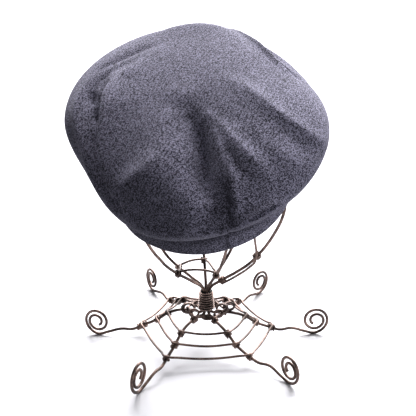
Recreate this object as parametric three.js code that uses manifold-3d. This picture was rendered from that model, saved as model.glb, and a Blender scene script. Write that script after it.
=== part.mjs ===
import * as THREE from 'three';
import { mergeVertices } from 'three/addons/utils/BufferGeometryUtils.js';
import Module from 'manifold-3d';

// A full flat cap of wool cloth, set down on a stand of bent wire.
// Millimetres, +Z up. The floor is z = 0, the cap's back points to -Y and its peak to +Y.

// Cap
const head_width = 170;
const head_length = 185;
const cloth = 2.2;
const band_height = 34;
const band_shows = 29.5;
const crown_rise = 112;
const crown_reach = 125;
const peak_depth = 56;
const peak_thick = 3;
const peak_span = 62;
const peak_drop = 16;
const peak_height = 0.34;

// Stand
const leg_wire = 3.2;
const web_wire = 2.5;
const coil_wire = 2.2;
const foot_reach = 119;
const hub_height = 31;
const neck_top = 59;
const bundle_radius = 3.5;
const cage_radius = 83;
const cage_belly = 165;
const top_ring_radius = 27;
const scroll_size = 31;
const foot_flat = 0.3;

// How the cap sits on the stand, and the gap that all pieces keep
const cap_above_belly = 24;
const cap_forward = -26;
const cap_aside = -3;
const cap_tilt = 25;
const cap_roll = -10.5;
const cap_yaw = 13;
const gap = 0.3;

const rad = THREE.MathUtils.degToRad;
const azimuths = 66;
const wire_sides = 6;
const thin_sides = 5;

// The crown's outline from above and the height of its widest line, every 30 degrees from +X.
// reach is a share of crown_reach, belly a share of crown_rise. tuck is how straight the cloth
// runs in to the band under the widest line: 1 is a full round roll, 2 a straight line. shows
// is the share of band_shows left bare below the crown, least in front over the peak.
const crown_rows = [
  { reach: 0.97, belly: 0.53, tuck: 1.30, shows: 0.72 },
  { reach: 0.99, belly: 0.63, tuck: 1.20, shows: 0.56 },
  { reach: 1.10, belly: 0.69, tuck: 1.20, shows: 0.46 },
  { reach: 1.13, belly: 0.71, tuck: 1.20, shows: 0.42 },
  { reach: 1.10, belly: 0.69, tuck: 1.20, shows: 0.46 },
  { reach: 0.98, belly: 0.65, tuck: 1.20, shows: 0.62 },
  { reach: 0.82, belly: 0.56, tuck: 1.15, shows: 0.80 },
  { reach: 0.85, belly: 0.53, tuck: 1.10, shows: 0.95 },
  { reach: 0.98, belly: 0.56, tuck: 1.30, shows: 1.00 },
  { reach: 1.05, belly: 0.58, tuck: 1.60, shows: 1.00 },
  { reach: 1.03, belly: 0.58, tuck: 1.40, shows: 0.98 },
  { reach: 1.00, belly: 0.57, tuck: 1.25, shows: 0.88 },
];

// Folds of the crown. A route runs through pairs of azimuth in degrees and share of the way
// from the crown's top to its lower edge. left and right are half widths to either side of
// the route, and rise stands out of the cloth, or goes in where it is negative. All three
// are shares of crown_reach.
const folds = [
  { name: 'back valley', left: 0.09, right: 0.15, rise: -0.08,
    route: [[264, 0.06], [269, 0.17], [266, 0.31], [264, 0.46], [262, 0.62]] },
  { name: 'valley lip', left: 0.07, right: 0.05, rise: 0.04,
    route: [[290, 0.10], [281, 0.18], [279, 0.32], [275, 0.45], [274, 0.54]] },
  { name: 'second groove', left: 0.035, right: 0.035, rise: -0.03,
    route: [[287, 0.18], [285, 0.26], [284, 0.36]] },
  { name: 'second lip', left: 0.05, right: 0.04, rise: 0.04,
    route: [[290, 0.16], [293, 0.24], [292, 0.32], [290, 0.42]] },
  { name: 'right crest', left: 0.16, right: 0.08, rise: 0.055,
    route: [[2, 0.13], [335, 0.19], [320, 0.33], [320, 0.43], [324, 0.54]] },
  { name: 'right hollow', left: 0.14, right: 0.20, rise: -0.04,
    route: [[316, 0.24], [309, 0.33], [309, 0.45], [312, 0.60]] },
  { name: 'far right crease', left: 0.04, right: 0.05, rise: -0.035,
    route: [[44, 0.47], [27, 0.43], [11, 0.40], [0, 0.42]] },
  { name: 'left pleat', left: 0.13, right: 0.05, rise: 0.05,
    route: [[118, 0.22], [140, 0.24], [164, 0.30], [190, 0.41], [218, 0.57]] },
  { name: 'left pocket', left: 0.07, right: 0.08, rise: -0.07,
    route: [[130, 0.29], [147, 0.32], [166, 0.36], [190, 0.47], [214, 0.60]] },
  { name: 'left ridge', left: 0.05, right: 0.06, rise: 0.035,
    route: [[138, 0.35], [152, 0.39], [170, 0.43], [192, 0.52]] },
  { name: 'back bloom', left: 0.10, right: 0.08, rise: 0.03,
    route: [[238, 0.19], [227, 0.25], [219, 0.38]] },
  { name: 'back left hollow', left: 0.2, right: 0.2, rise: -0.035,
    route: [[244, 0.38], [240, 0.56]] },
  { name: 'front left crease', left: 0.05, right: 0.05, rise: -0.025,
    route: [[100, 0.27], [114, 0.26], [130, 0.28], [142, 0.31]] },
  { name: 'front dip', left: 0.16, right: 0.16, rise: -0.04,
    route: [[80, 0.46], [76, 0.58], [78, 0.72]] },
  { name: 'front right dip', left: 0.12, right: 0.14, rise: -0.035,
    route: [[48, 0.46], [50, 0.58], [48, 0.70]] },
];

// The six wires of the stand. Each is a leg with a scrolled foot, a turn up through the neck
// and a rib of the cage. leg and rib are azimuths, lead is how far the leg starts to one side of
// its foot's azimuth, and twist how far the scroll's plane is turned. reach is a share of
// foot_reach, scroll of scroll_size, swell of cage_radius and lift of neck_top.
const strands = [
  { name: 'right', leg: 3.5, lead: -4, twist: 0, reach: 0.99, scroll: 1.00, rib: 338, swell: 1.00, lift: 0.06 },
  { name: 'back_right', leg: 58, lead: 6, twist: -14, reach: 1.01, scroll: 0.95, rib: 36, swell: 0.66, lift: 0.00 },
  { name: 'back_left', leg: 121, lead: 6, twist: 0, reach: 1.08, scroll: 0.92, rib: 96, swell: 0.58, lift: 0.00 },
  { name: 'left', leg: 177.5, lead: -18, twist: -14, reach: 0.99, scroll: 0.98, rib: 160, swell: 0.90, lift: -0.10 },
  { name: 'front_left', leg: 238, lead: -9, twist: 8, reach: 1.01, scroll: 1.05, rib: 210, swell: 0.96, lift: 0.03 },
  { name: 'front_right', leg: 312.5, lead: -21, twist: -9, reach: 1.00, scroll: 0.98, rib: 292, swell: 0.78, lift: 0.10 },
];

// A leg from the neck to its foot: out is a share of the foot's reach, up a share of hub_height
const leg_rows = [
  { out: 0.10, up: 1.00 },
  { out: 0.17, up: 1.00 },
  { out: 0.26, up: 0.96 },
  { out: 0.36, up: 0.82 },
  { out: 0.46, up: 0.56 },
  { out: 0.60, up: 0.34 },
  { out: 0.68, up: 0.23 },
  { out: 0.79, up: 0.27 },
  { out: 0.91, up: 0.14 },
];
// From here out a leg runs straight to its foot
const lead_end = 0.75;

// A rib from the neck to the belly of the cage: out is a share of its swell, up of the way
// from neck_top to cage_belly
const rib_rows = [
  { out: 0.22, up: 0.12 },
  { out: 0.42, up: 0.23 },
  { out: 0.60, up: 0.35 },
  { out: 0.67, up: 0.42 },
  { out: 0.75, up: 0.50 },
  { out: 0.88, up: 0.68 },
  { out: 0.97, up: 0.86 },
  { out: 1.00, up: 1.00 },
];

// The rings of the web: row is the row of leg_rows at which each crosses the legs, and sag
// how far its stretches hang in between, a share of web_wire
const web_rings = [
  { name: 'web_ring_hub', row: 1, sag: 0.2 },
  { name: 'web_ring_inner', row: 3, sag: 1.3 },
  { name: 'web_ring_middle', row: 4, sag: 1.5 },
  { name: 'web_ring_outer', row: 5, sag: 1.6 },
];
// The tie ring of the cage bows up in between, so its sag is negative
const tie_sag = -0.9;
// A rib's bend over the belly: 1 is a full round shoulder, more is leaner
const rib_shoulder = 1.5;

const wool = new THREE.MeshStandardMaterial({ color: 0x5b5b6b, roughness: 0.95, metalness: 0 });
const wool_dark = new THREE.MeshStandardMaterial({ color: 0x4c4c5a, roughness: 0.95, metalness: 0 });
const bronze = new THREE.MeshStandardMaterial({ color: 0x4a3a33, roughness: 0.4, metalness: 0.8 });

const wasm = await Module();
wasm.setup();

const polar = (azimuth, radius, height) =>
  new THREE.Vector3(radius * Math.cos(rad(azimuth)), radius * Math.sin(rad(azimuth)), height);

// Smooth round the circle: a Catmull-Rom value of one column between the rows of a table
function around(rows, column, azimuth) {
  const step = ((((azimuth % 360) + 360) % 360) / 360) * rows.length;
  const first = Math.floor(step);
  const t = step - first;
  const [a, b, c, d] = [-1, 0, 1, 2].map((k) => rows[(first + k + rows.length) % rows.length][column]);
  return b + 0.5 * t * (c - a + t * (2 * a - 5 * b + 4 * c - d + t * (3 * (b - c) + d - a)));
}

// Rings of points become one closed skin. A ring of one point is a pole. With loop the last
// ring joins the first, and without it open ends are closed by a fan.
function skin(rings, loop = false) {
  const points = [];
  const starts = rings.map((ring) => {
    points.push(...ring);
    return points.length - ring.length;
  });
  const faces = [];
  const pairs = loop ? rings.length : rings.length - 1;
  for (let i = 0; i < pairs; i += 1) {
    const next = (i + 1) % rings.length;
    const count = Math.max(rings[i].length, rings[next].length);
    for (let k = 0; k < count; k += 1) {
      const a = starts[i] + (k % rings[i].length);
      const b = starts[i] + ((k + 1) % rings[i].length);
      const c = starts[next] + (k % rings[next].length);
      const d = starts[next] + ((k + 1) % rings[next].length);
      if (a !== b) faces.push(a, b, c);
      if (c !== d) faces.push(b, d, c);
    }
  }
  if (!loop) {
    for (const [ring, start, turned] of [[rings[0], starts[0], true], [rings.at(-1), starts.at(-1), false]]) {
      for (let k = 1; k < ring.length - 1; k += 1) {
        faces.push(start, start + (turned ? k + 1 : k), start + (turned ? k : k + 1));
      }
    }
  }
  const shape = new THREE.BufferGeometry().setFromPoints(points);
  shape.setIndex(faces);
  shape.computeVertexNormals();
  return shape;
}

const band_radius = (azimuth, inset = 0) =>
  1 / Math.hypot(
    Math.cos(rad(azimuth)) / (head_width / 2 + cloth - inset),
    Math.sin(rad(azimuth)) / (head_length / 2 + cloth - inset),
  );

// The crown without folds: a dome from its top out to the belly, then a tuck in to the band
const belly_share = 0.62;
const dome_power = 0.95;
function crown_base(azimuth, share) {
  const reach = around(crown_rows, 'reach', azimuth) * crown_reach;
  const belly = around(crown_rows, 'belly', azimuth) * crown_rise;
  if (share < belly_share) {
    const t = (share / belly_share) * (Math.PI / 2);
    return {
      out: reach * Math.sin(t) ** dome_power,
      up: belly + (crown_rise - belly) * Math.cos(t) ** dome_power,
    };
  }
  const t = ((share - belly_share) / (1 - belly_share)) * (Math.PI / 2);
  const lip = band_radius(azimuth) + gap;
  const tuck = around(crown_rows, 'tuck', azimuth);
  const lip_height = around(crown_rows, 'shows', azimuth) * band_shows;
  return {
    out: lip + (reach - lip) * Math.max(Math.cos(t), 0) ** tuck,
    up: belly + (lip_height - belly) * Math.sin(t) ** tuck,
  };
}

// Folds are laid out on a flat chart of the crown, with the top at its centre
const chart_size = 1.68;
const chart = (azimuth, share) =>
  new THREE.Vector2(Math.cos(rad(azimuth)), Math.sin(rad(azimuth))).multiplyScalar(share * chart_size);
const fold_lines = folds.map(({ route, left, right, rise }) => ({
  left,
  right,
  rise,
  line: new THREE.SplineCurve(route.map(([azimuth, share]) => chart(azimuth, share))).getPoints(16),
}));

function fold_rise(azimuth, share) {
  const spot = chart(azimuth, share);
  let total = 0;
  for (const { line, left, right, rise } of fold_lines) {
    let best = { distance: Infinity };
    for (let k = 0; k < line.length - 1; k += 1) {
      const along = line[k + 1].clone().sub(line[k]);
      const offset = spot.clone().sub(line[k]);
      const t = THREE.MathUtils.clamp(offset.dot(along) / along.lengthSq(), 0, 1);
      const distance = offset.clone().addScaledVector(along, -t).length();
      if (distance < best.distance) {
        best = { distance, side: along.cross(offset), place: (k + t) / (line.length - 1) };
      }
    }
    const width = best.side > 0 ? left : right;
    const fade = Math.sin(Math.PI * THREE.MathUtils.clamp(best.place, 0.08, 0.92)) ** 0.6;
    total += rise * fade * Math.exp(-((best.distance / width) ** 2));
  }
  // The cloth is flat again where it is sewn to the band, and at the very top
  const sewn = THREE.MathUtils.smoothstep(1 - share, 0.02, 0.22);
  return total * crown_reach * sewn * THREE.MathUtils.smoothstep(share, 0, 0.08);
}

// A point of the crown's cloth, depth under its outer side
function crown_point(azimuth, share, depth) {
  const step = 0.004;
  const here = crown_base(azimuth, share);
  const before = crown_base(azimuth, Math.max(share - step, 0));
  const after = crown_base(azimuth, Math.min(share + step, 1));
  const along = new THREE.Vector2(after.out - before.out, after.up - before.up).normalize();
  const push = fold_rise(azimuth, share) - depth;
  const out = share === 0 ? 0 : here.out - along.y * push;
  return polar(azimuth, share === 1 ? here.out : out, here.up + (share === 0 ? push : along.x * push));
}

function make_crown() {
  const shares = [0.07, 0.13, 0.19, 0.25, 0.31, 0.37, 0.43, 0.49, 0.54, 0.58, 0.62, 0.66, 0.71, 0.77, 0.83,
    0.89, 0.95, 1];
  const turn = Array.from({ length: azimuths }, (_, k) => (k * 360) / azimuths);
  const wall = (depth) => [
    [crown_point(0, 0, depth)],
    ...shares.map((share) => turn.map((azimuth) => crown_point(azimuth, share, depth))),
  ];
  const rings = [...wall(0), ...wall(cloth).reverse()];
  return skin(rings.map((ring) => ring.slice().reverse()));
}

// The band is an oval cuff whose lower edge is rounded, seen in its section
function make_band() {
  const section = [
    { inset: 0, up: 0.6 },
    { inset: 0, up: band_height },
    { inset: cloth, up: band_height },
    { inset: cloth, up: 0.6 },
    { inset: cloth * 0.7, up: 0 },
    { inset: cloth * 0.3, up: 0 },
  ];
  const rings = Array.from({ length: azimuths }, (_, k) => {
    const azimuth = (k * 360) / azimuths;
    return section.map(({ inset, up }) => polar(azimuth, band_radius(azimuth, inset), up));
  });
  return skin(rings.map((ring) => ring.slice().reverse()), true);
}

// The stiff peak: a crescent in front of the band, curved down to its edge and to its ends
function make_peak() {
  const slices = 22;
  const steps = 4;
  const rings = Array.from({ length: slices + 1 }, (_, k) => {
    const side = (2 * k) / slices - 1;
    const azimuth = 90 - side * peak_span;
    const depth = peak_depth * (1 - side ** 2) ** 0.5 + 3;
    const root = band_radius(azimuth) + gap;
    const at = (share, under) => polar(
      azimuth,
      root + share * depth,
      band_shows * peak_height - peak_drop * (share ** 1.6) * (depth / peak_depth) - 6 * side ** 2 - under,
    );
    const over = Array.from({ length: steps + 1 }, (_unused, n) => at(n / steps, 0));
    const edge = at(1, peak_thick / 2).addScaledVector(polar(azimuth, 1, 0), peak_thick * 0.3);
    const below = Array.from({ length: steps + 1 }, (_unused, n) => at(1 - n / steps, peak_thick));
    return [...over, edge, ...below].reverse();
  });
  return skin(rings);
}

// A curve whose steps are its own points, so that tight bends get more of them
class WireCurve extends THREE.CatmullRomCurve3 {
  getSpacedPoints(divisions) {
    return this.getPoints(divisions);
  }

  getPointAt(t, target) {
    return this.getPoint(t, target);
  }

  getTangentAt(t, target) {
    return this.getTangent(t, target);
  }
}

function wire(points, thickness, sides = thin_sides) {
  const section = new THREE.Shape(
    Array.from({ length: sides }, (_, k) => {
      const turn = (2 * Math.PI * k) / sides;
      return new THREE.Vector2(Math.cos(turn), Math.sin(turn)).multiplyScalar(thickness / 2);
    }),
  );
  return new THREE.ExtrudeGeometry(section, {
    steps: points.length - 1,
    extrudePath: new WireCurve(points, false, 'centripetal'),
  });
}

const wire_loop = (points, thickness) =>
  new THREE.TubeGeometry(new WireCurve(points, true, 'centripetal'), points.length, thickness / 2, thin_sides, true);

function to_solid(shape) {
  const bare = shape.clone();
  bare.deleteAttribute('normal');
  bare.deleteAttribute('uv');
  const merged = mergeVertices(bare, 1e-4);
  return new wasm.Manifold(new wasm.Mesh({
    numProp: 3,
    vertProperties: Float32Array.from(merged.attributes.position.array),
    triVerts: Uint32Array.from(merged.index.array),
  }));
}

function from_solid(solid) {
  const mesh = solid.getMesh();
  const shape = new THREE.BufferGeometry();
  shape.setAttribute('position', new THREE.BufferAttribute(mesh.vertProperties, 3));
  shape.setIndex(new THREE.BufferAttribute(mesh.triVerts, 1));
  shape.computeVertexNormals();
  return shape;
}

// Feet are worn flat where they stand: what reaches under the floor is cut off
const below_floor = to_solid(new THREE.BoxGeometry(6 * foot_reach, 6 * foot_reach, leg_wire)
  .translate(0, 0, -leg_wire / 2));
const stand_flat = (shape) => from_solid(to_solid(shape).subtract(below_floor));

// Where strand i runs at one row of the leg table
function leg_point(strand, { out, up }) {
  const lead = strand.lead * Math.max(1 - out / lead_end, 0);
  return polar(strand.leg + lead, out * foot_reach * strand.reach, up * hub_height);
}

function leg_points(strand) {
  const rest = leg_wire / 2 - foot_flat;
  const reach = foot_reach * strand.reach;
  const radius = (scroll_size * strand.scroll) / 2;
  const turns = 1.9;
  const steps = 21;
  const scroll = Array.from({ length: steps }, (_, k) => {
    const turn = (turns * k) / (steps - 1);
    const size = radius * (1 - 0.36 * turn);
    const angle = 2 * Math.PI * turn;
    const out = radius * 0.12 * Math.min(turn, 1) + size * Math.sin(angle);
    return polar(strand.leg, reach, 0).add(polar(strand.leg + strand.twist, out, rest + radius - size * Math.cos(angle)));
  });
  return [...leg_rows.map((row) => leg_point(strand, row)), ...scroll];
}

const neck_azimuth = (index, share) => index * 60 + 2 - 24 * share;

function neck_points(index) {
  return [
    polar(neck_azimuth(index, 1), bundle_radius, neck_top),
    polar(neck_azimuth(index, 0.5), bundle_radius, (neck_top + hub_height) / 2 + 3),
    polar(neck_azimuth(index, 0), bundle_radius, hub_height + leg_wire * 1.1),
    polar(neck_azimuth(index, 0), bundle_radius * 1.6, hub_height + leg_wire * 0.2),
  ];
}

// Where a thin wire crosses a thick one: over it, or with side -1 under it
function crossing(before, at, after, side) {
  const along = after.clone().sub(before).normalize();
  const across = new THREE.Vector3(-along.y, along.x, 0).normalize();
  const over = along.cross(across);
  return at.clone().addScaledVector(over, side * ((leg_wire + web_wire) / 2 + 2 * gap));
}

function rib_low_points(strand, aside = 0, below = 0) {
  return rib_rows.map(({ out, up }) => {
    const bow = Math.sin(Math.PI * up) * strand.lift * neck_top;
    const height = neck_top + up * (cage_belly - neck_top) + bow - below;
    return polar(strand.rib + aside, out * cage_radius * strand.swell, height);
  });
}

// From the belly of the cage a rib bends in to its seat under the top ring
function shoulder(belly, seat) {
  const bends = 7;
  return Array.from({ length: bends }, (_, k) => {
    const turn = ((k + 1) / bends) * (Math.PI / 2);
    const bend = belly.clone().lerp(seat, 1 - Math.cos(turn));
    return bend.setZ(belly.z + (seat.z - belly.z) * Math.sin(turn) ** rib_shoulder);
  });
}

function rib_points(strand, seat) {
  const low = rib_low_points(strand);
  return [...low, ...shoulder(low.at(-1), seat)];
}

// The stay lies below and beside its rib as far as their knot, then runs up inside it
function stay_points(strand, seat) {
  const beside = rib_low_points(strand, -5, 1.6 * web_wire).slice(0, 4);
  const knot = beside.at(-1);
  const upright = knot.clone().lerp(seat, 0.04).setZ((knot.z + cage_belly) / 2);
  const belly = knot.clone().setZ(cage_belly);
  return [...beside, upright, belly, ...shoulder(belly, seat)];
}

// A closed wire over the given carriers, with stretches that hang a little in between
function web_points(knots, sag) {
  const steps = 4;
  return knots.flatMap((knot, k) => {
    const next = knots[(k + 1) % knots.length];
    return Array.from({ length: steps }, (_, n) => {
      const t = n / steps;
      const drop = sag * web_wire * Math.sin(Math.PI * t);
      return knot.clone().lerp(next, t).add(new THREE.Vector3(0, 0, -drop));
    });
  });
}

function make_neck() {
  const inner = bundle_radius + leg_wire / 2 + gap;
  const bottom = hub_height + leg_wire * 1.2;
  const top = neck_top - leg_wire * 0.7;
  const profile = [
    [inner, bottom],
    [inner + coil_wire * 1.35, bottom],
    [inner + coil_wire * 1.35, bottom + coil_wire],
    [inner + coil_wire, bottom + 3 * coil_wire],
    [inner + coil_wire, top],
    [inner, top],
    [inner, bottom],
  ];
  return new THREE.LatheGeometry(profile.map(([out, up]) => new THREE.Vector2(out, up)), 22)
    .rotateX(Math.PI / 2);
}

const model = new THREE.Group();
function add(name, shape, material, group = model) {
  const mesh = new THREE.Mesh(shape, material);
  mesh.name = name;
  group.add(mesh);
  return mesh;
}

// The cap hangs on the cage by its crown, so its height comes from the stand's
const cap = new THREE.Group();
cap.rotation.set(rad(cap_tilt), rad(cap_roll), rad(cap_yaw), 'YXZ');
cap.position.set(cap_aside, cap_forward, cage_belly + cap_above_belly);
model.add(cap);
const crown = add('crown', make_crown(), wool, cap);
add('band', make_band(), wool_dark, cap);
add('peak', make_peak(), wool, cap);

// The top ring follows the inside of the crown: straight up from each of its points, the
// first wall met is the crown's lining side
model.updateMatrixWorld(true);
const plumb = new THREE.Raycaster();
function under_crown(spot, clearance) {
  plumb.set(new THREE.Vector3(spot.x, spot.y, cage_belly), new THREE.Vector3(0, 0, 1));
  const [hit] = plumb.intersectObject(crown);
  const slope = hit.face.normal.clone().transformDirection(crown.matrixWorld);
  return hit.point.z - clearance / Math.abs(slope.z);
}
const ring_centre = new THREE.Vector3(cap_aside, cap_forward / 2, 0);
const ring_steps = 24;
const top_ring = Array.from({ length: ring_steps }, (_, k) => {
  const spot = polar((k * 360) / ring_steps, top_ring_radius, 0).add(ring_centre);
  return spot.setZ(under_crown(spot, web_wire / 2 + gap));
});
add('cage_top_ring', wire_loop(top_ring, web_wire), bronze);

// A wire ends a little inside the top ring, which lies on it
function seat_under_ring(azimuth, thickness) {
  const end = polar(azimuth, top_ring_radius - leg_wire, 0).add(ring_centre);
  return end.setZ(under_crown(end, web_wire + thickness / 2 + 2 * gap));
}

strands.forEach((strand, index) => {
  const end = seat_under_ring(strand.rib, leg_wire);
  const path = [
    ...rib_points(strand, end).reverse(),
    ...neck_points(index),
    ...leg_points(strand),
  ];
  add(`strand_${strand.name}`, stand_flat(wire(path, leg_wire, wire_sides)), bronze);
});

add('neck_coil', make_neck(), bronze);

for (const { name, row, sag } of web_rings) {
  const knots = strands.map((strand) => {
    const [before, at, after] = leg_rows.slice(row - 1, row + 2).map((place) => leg_point(strand, place));
    return crossing(before, at, after, 1);
  });
  add(name, wire_loop(web_points(knots, sag), web_wire), bronze);
}

// A ring ties four of the ribs a little above the neck, above them (1) or under
// them (-1), and a thin stay runs beside the right one
const tied = [
  { name: 'front_right', side: 1 },
  { name: 'back_left', side: 1 },
  { name: 'left', side: 1 },
  { name: 'front_left', side: 1 },
];
const tie_knots = tied.map(({ name, side }) => {
  const strand = strands.find((one) => one.name === name);
  return crossing(...rib_low_points(strand).slice(0, 3), side);
});
add('cage_tie_ring', wire_loop(web_points(tie_knots, tie_sag), web_wire), bronze);
const stayed = strands[0];
const stay_seat = seat_under_ring(stayed.rib - 24, web_wire);
add('cage_stay', wire(stay_points(stayed, stay_seat), web_wire), bronze);

// The bounding box's base centre is the origin
model.updateMatrixWorld(true);
const box = new THREE.Box3().setFromObject(model, true);
const middle = box.getCenter(new THREE.Vector3());
model.position.set(-middle.x, -middle.y, -box.min.z);

export default model;
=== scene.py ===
# %% [markdown]
# # A wool flat cap on a wire hat stand
# This lesson dresses a imported CAD model. The model is a fixed frame: every piece below is laid
# over one of its solids, in metres, in the same place. First the frame is loaded.

import math

import bmesh
import bpy
import numpy as np
from mathutils import Euler, Matrix, Vector
from mathutils.bvhtree import BVHTree


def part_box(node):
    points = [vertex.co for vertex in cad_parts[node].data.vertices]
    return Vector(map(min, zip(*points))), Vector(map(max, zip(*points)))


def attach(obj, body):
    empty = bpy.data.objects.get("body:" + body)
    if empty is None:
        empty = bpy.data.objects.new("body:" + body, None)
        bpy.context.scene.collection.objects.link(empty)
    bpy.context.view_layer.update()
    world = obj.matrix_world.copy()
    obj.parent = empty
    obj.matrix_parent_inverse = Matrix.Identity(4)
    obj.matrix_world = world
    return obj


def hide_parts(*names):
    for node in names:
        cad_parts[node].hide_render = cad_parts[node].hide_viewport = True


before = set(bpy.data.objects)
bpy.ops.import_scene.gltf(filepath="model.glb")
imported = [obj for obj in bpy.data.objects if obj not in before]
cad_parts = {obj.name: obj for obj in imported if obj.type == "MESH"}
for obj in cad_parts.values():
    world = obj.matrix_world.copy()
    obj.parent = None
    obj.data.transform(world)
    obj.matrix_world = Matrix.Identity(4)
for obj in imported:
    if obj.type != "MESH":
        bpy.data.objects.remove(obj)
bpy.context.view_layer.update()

# %% [markdown]
# ## The stand's axis and the cap's own frame
# The stand is turned about an upright axis through its neck, so all its wires are given as an
# azimuth, a distance out and a height. The cap is a second frame: its brim is level there, its
# top is on +Z and its peak on +Y. It hangs tilted on the stand, so one matrix carries it over.

# %% Axis and cap matrix
MM = 0.001
coil_low, coil_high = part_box("neck_coil")
axis = Vector(((coil_low.x + coil_high.x) / 2, (coil_low.y + coil_high.y) / 2, 0))
cap_tilt, cap_roll, cap_yaw = math.radians(25), math.radians(-10.5), math.radians(13)
cap_turn = Euler((0, cap_roll, 0)).to_matrix() @ Euler((cap_tilt, 0, 0)).to_matrix()
cap_turn = cap_turn @ Euler((0, 0, cap_yaw)).to_matrix()
cap_aside, cap_forward, cap_up = -3, -26, 189
cap_seat = axis + Vector((cap_aside, cap_forward, cap_up)) * MM
cap_matrix = Matrix.Translation(cap_seat) @ cap_turn.to_4x4()


def polar(azimuth, out, up):
    """A point round the stand's axis: degrees, then millimetres out and up."""
    turn = math.radians(azimuth)
    return Vector((out * math.cos(turn), out * math.sin(turn), up))


print("stand axis at", [round(1000 * v, 1) for v in axis])

# %% [markdown]
# ## The camera
# The photograph looks down on the back of the cap by about 21 degrees, from some 77 cm away. A
# 65 mm lens on a 36 mm sensor gives the same perspective. The camera aims at a point by the
# stand's axis, so it stays right if the model's box moves.

# %% Camera
camera_down = math.radians(20.9)
camera_distance, aim_aside, aim_up = 766.15, 1.846, 150.924
camera_data = bpy.data.cameras.new("camera")
camera_data.lens = 65
camera_data.sensor_width = 36
camera = bpy.data.objects.new("camera", camera_data)
camera_back, camera_up = camera_distance * math.cos(camera_down), camera_distance * math.sin(camera_down)
camera.location = axis + Vector((aim_aside, -camera_back, aim_up + camera_up)) * MM
camera.rotation_euler = (math.pi / 2 - camera_down, 0, 0)
bpy.context.scene.collection.objects.link(camera)
bpy.context.scene.camera = camera
print("camera at", [round(v, 3) for v in camera.location])

# %% [markdown]
# ## Shader maths in Python
# A material is a graph of nodes. Wrapping a socket in a small class lets the graph be written as
# plain expressions: `1 - mask * 0.5` adds its Math nodes. Only the operators that the materials
# below use are defined. Colours go through Mix nodes, because a Math node would turn them grey.


# %% Socket class
class Socket:
    def __init__(self, tree, socket):
        self.tree = tree
        self.socket = socket

    def math(self, operation, other):
        return node(self.tree, "ShaderNodeMath", {"operation": operation}, {0: self, 1: other})

    def __add__(self, other):
        return self.math("ADD", other)

    def __mul__(self, other):
        return self.math("MULTIPLY", other)

    def __rsub__(self, other):
        return node(self.tree, "ShaderNodeMath", {"operation": "SUBTRACT"}, {0: other, 1: self})

    __radd__ = __add__
    __rmul__ = __mul__

    def span(self, low, high, to_low=0.0, to_high=1.0):
        """The value's range low to high, stretched smoothly over to_low to to_high."""
        return node(self.tree, "ShaderNodeMapRange", {"interpolation_type": "SMOOTHSTEP"},
                    {"Value": self, "From Min": low, "From Max": high, "To Min": to_low, "To Max": to_high})


def node(tree, kind, settings=None, inputs=None, output=0):
    """Adds one node: its settings first, then the values or links of its sockets."""
    made = tree.nodes.new(kind)
    for name, value in (settings or {}).items():
        setattr(made, name, value)
    for name, value in (inputs or {}).items():
        if isinstance(value, Socket):
            tree.links.new(value.socket, made.inputs[name])
        else:
            made.inputs[name].default_value = value
    return Socket(tree, made.outputs[output])


def blend_colours(factor, low, high):
    """A colour between two, by a factor. Colour sockets of a Mix node are 6 and 7, its output 2."""
    return node(factor.tree, "ShaderNodeMix", {"data_type": "RGBA"}, {0: factor, 6: low, 7: high}, 2)


def finish(name, roughness=0.5, metallic=0.0, sockets=None):
    """A new material with one Principled shader, and what it needs to be drawn on."""
    made = bpy.data.materials.new(name)
    made.use_nodes = True
    shader = made.node_tree.nodes["Principled BSDF"]
    shader.inputs["Roughness"].default_value = roughness
    shader.inputs["Metallic"].default_value = metallic
    for socket, value in (sockets or {}).items():
        shader.inputs[socket].default_value = value
    return made, made.node_tree, shader


# %% [markdown]
# ## Wool cloth
# The cap is woollen cloth in salt and pepper: dark navy and pale grey hairs are mixed before they
# are spun, and the yarns cross in a small diagonal weave. Close up, four things show. The hairs
# give a fine grain of light and dark, single yarns stand out as specks, the weave gives faint
# slanting lines, and loose fibres catch the light at the edges. The grain is noise on Object
# coordinates, which has no stretch, and each speck is a Voronoi cell with a grey of its own. The
# weave follows the piece's own UV map. The loose fibres are the shader's sheen. Where two panels
# are sewn together the seam lies in shade, and so does the crease under the crown's lip, so that
# shade is painted: an attribute that marks them darkens the cloth there.

# %% Wool
hair_scale, speck_scale, tuft_scale, patch_scale, twill_scale = 1150.0, 1500.0, 560.0, 45.0, 200.0


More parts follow.
